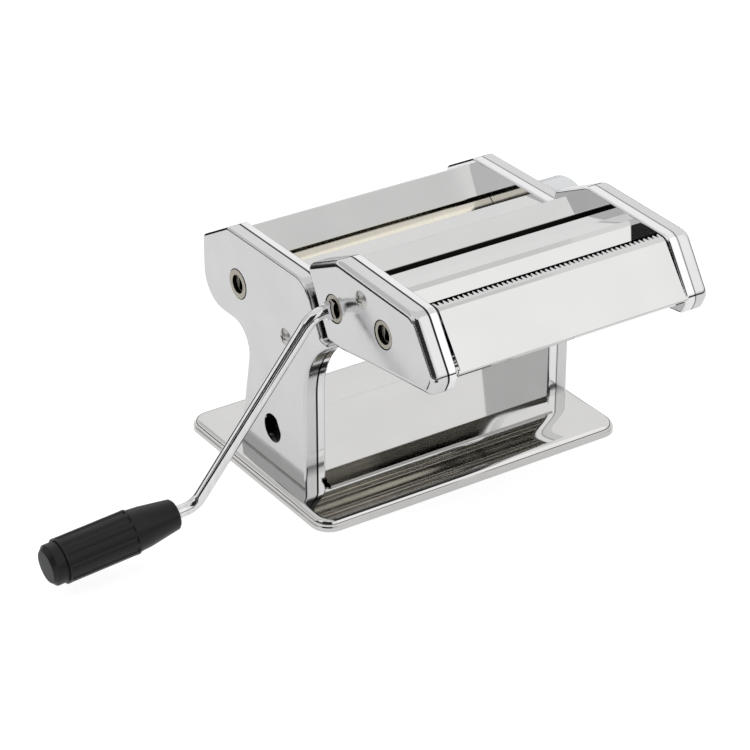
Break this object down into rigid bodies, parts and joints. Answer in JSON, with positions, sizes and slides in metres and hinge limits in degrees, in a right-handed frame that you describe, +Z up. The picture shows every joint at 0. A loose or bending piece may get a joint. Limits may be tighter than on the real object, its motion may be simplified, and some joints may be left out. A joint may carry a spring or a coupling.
{
  "type": "pasta machine",
  "caption": "Hand cranked pasta machine: chromed body with adjustable smooth rollers, lift-off cutter with wide and narrow cutting rollers, and a crank with a black grip.",
  "frame": {"origin": "on the surface that the machine stands on, under the centre of the base tray", "axes": "+X along the rollers, away from the crank; +Y towards the back, away from the cutter; +Z up"},
  "size_m": [0.3642, 0.2257, 0.1571],
  "materials": {
    "chromed_sheet": "polished",
    "satin_sheet": "satin",
    "base_sheet": "polished",
    "bright_steel": "bright",
    "roller_metal": "satin",
    "gear_steel": "machined",
    "bush_plastic": "matte",
    "comb_metal": "satin",
    "zinc_screws": "bright",
    "chromed_rod": "polished",
    "silver_knob": "smooth",
    "black_grip": "satin",
    "grey_cap": "matte"
  },
  "bodies": {
    "base": {"base_tray": "base_sheet", "base_screws": "zinc_screws", "floor_plate": "base_sheet", "left_inner_frame": "chromed_sheet", "right_inner_frame": "chromed_sheet", "left_outer_cover": "satin_sheet", "right_outer_cover": "satin_sheet", "rear_hopper_panel": "chromed_sheet", "front_hopper_panel": "chromed_sheet", "tie_rods": "bright_steel", "cover_screws": "zinc_screws", "frame_screws": "zinc_screws", "rear_roller_bushes": "bush_plastic", "adjuster_bushes": "bush_plastic", "roller_scrapers": "bright_steel", "index_plate": "bright_steel", "cutter_rails": "bright_steel"},
    "rear_roller_set": {"rear_roller": "roller_metal", "rear_roller_gear": "gear_steel"},
    "roller_carrier": {"front_roller_bushes": "bush_plastic"},
    "front_roller_set": {"front_roller": "roller_metal", "front_roller_gear": "gear_steel"},
    "adjuster": {"adjuster_shaft": "bright_steel", "knob_screw": "zinc_screws", "knob_spring": "bright_steel"},
    "knob": {"adjuster_knob": "silver_knob", "index_pin": "bright_steel"},
    "cutter": {"cutter_left_frame": "chromed_sheet", "cutter_right_frame": "chromed_sheet", "cutter_left_cover": "satin_sheet", "cutter_right_cover": "satin_sheet", "cutter_rear_sheet": "chromed_sheet", "cutter_middle_sheet": "chromed_sheet", "cutter_front_sheet": "chromed_sheet", "wide_comb": "comb_metal", "narrow_comb": "comb_metal", "cutter_tie_bars": "bright_steel", "cutter_screws": "zinc_screws", "cutter_bushes": "bush_plastic"},
    "wide_drive": {"wide_drive_roller": "roller_metal", "wide_drive_gear": "gear_steel"},
    "wide_idle": {"wide_idle_roller": "roller_metal", "wide_idle_gear": "gear_steel"},
    "narrow_drive": {"narrow_drive_roller": "roller_metal", "narrow_drive_gear": "gear_steel"},
    "narrow_idle": {"narrow_idle_roller": "roller_metal", "narrow_idle_gear": "gear_steel"},
    "crank": {"crank_rod": "chromed_rod"},
    "grip": {"handle_grip": "black_grip", "grip_end_cap": "grey_cap"}
  },
  "joints": [
    {"name": "rear_roller_turn", "type": "hinge", "parent": "base", "child": "rear_roller_set", "pos_m": [0, 0.0299, 0.1036], "axis": [1, 0, 0], "continuous": true},
    {"name": "adjuster_turn", "type": "hinge", "parent": "base", "child": "adjuster", "pos_m": [0, 0.00115, 0.1036], "axis": [1, 0, 0], "range_deg": [0, 180]},
    {"name": "roller_gap", "type": "slide", "parent": "base", "child": "roller_carrier", "axis": [0, -1, 0], "range_m": [0, 0.0025]},
    {"name": "front_roller_turn", "type": "hinge", "parent": "roller_carrier", "child": "front_roller_set", "pos_m": [0, 0.0024, 0.1036], "axis": [1, 0, 0], "continuous": true},
    {"name": "knob_pull", "type": "slide", "parent": "adjuster", "child": "knob", "axis": [1, 0, 0], "range_m": [0, 0.004], "stiffness_N_per_m": 600, "springref_m": -0.004},
    {"name": "cutter_lift", "type": "slide", "parent": "base", "child": "cutter", "axis": [0, 0.4692, 0.8831], "range_m": [0, 0.035]},
    {"name": "wide_drive_turn", "type": "hinge", "parent": "cutter", "child": "wide_drive", "pos_m": [0, -0.0639, 0.1285], "axis": [1, 0, 0], "continuous": true},
    {"name": "wide_idle_turn", "type": "hinge", "parent": "cutter", "child": "wide_idle", "pos_m": [0, -0.0853, 0.1285], "axis": [1, 0, 0], "continuous": true},
    {"name": "narrow_drive_turn", "type": "hinge", "parent": "cutter", "child": "narrow_drive", "pos_m": [0, -0.1089, 0.1333], "axis": [1, 0, 0], "continuous": true},
    {"name": "narrow_idle_turn", "type": "hinge", "parent": "cutter", "child": "narrow_idle", "pos_m": [0, -0.1303, 0.1333], "axis": [1, 0, 0], "continuous": true},
    {"name": "crank_pull", "type": "slide", "parent": "wide_drive", "child": "crank", "axis": [-1, 0, 0], "range_m": [0, 0.022]},
    {"name": "grip_turn", "type": "hinge", "parent": "crank", "child": "grip", "pos_m": [-0.1618, -0.0449, 0.0268], "axis": [-0.9957, 0.017, -0.0908], "continuous": true}
  ],
  "couplings": [
    {"joint": "adjuster_turn", "follows": "roller_gap", "rad_per_m": 1256.6},
    {"joint": "front_roller_turn", "follows": "rear_roller_turn", "ratio": -1},
    {"joint": "wide_idle_turn", "follows": "wide_drive_turn", "ratio": -1},
    {"joint": "narrow_idle_turn", "follows": "narrow_drive_turn", "ratio": -1}
  ]
}
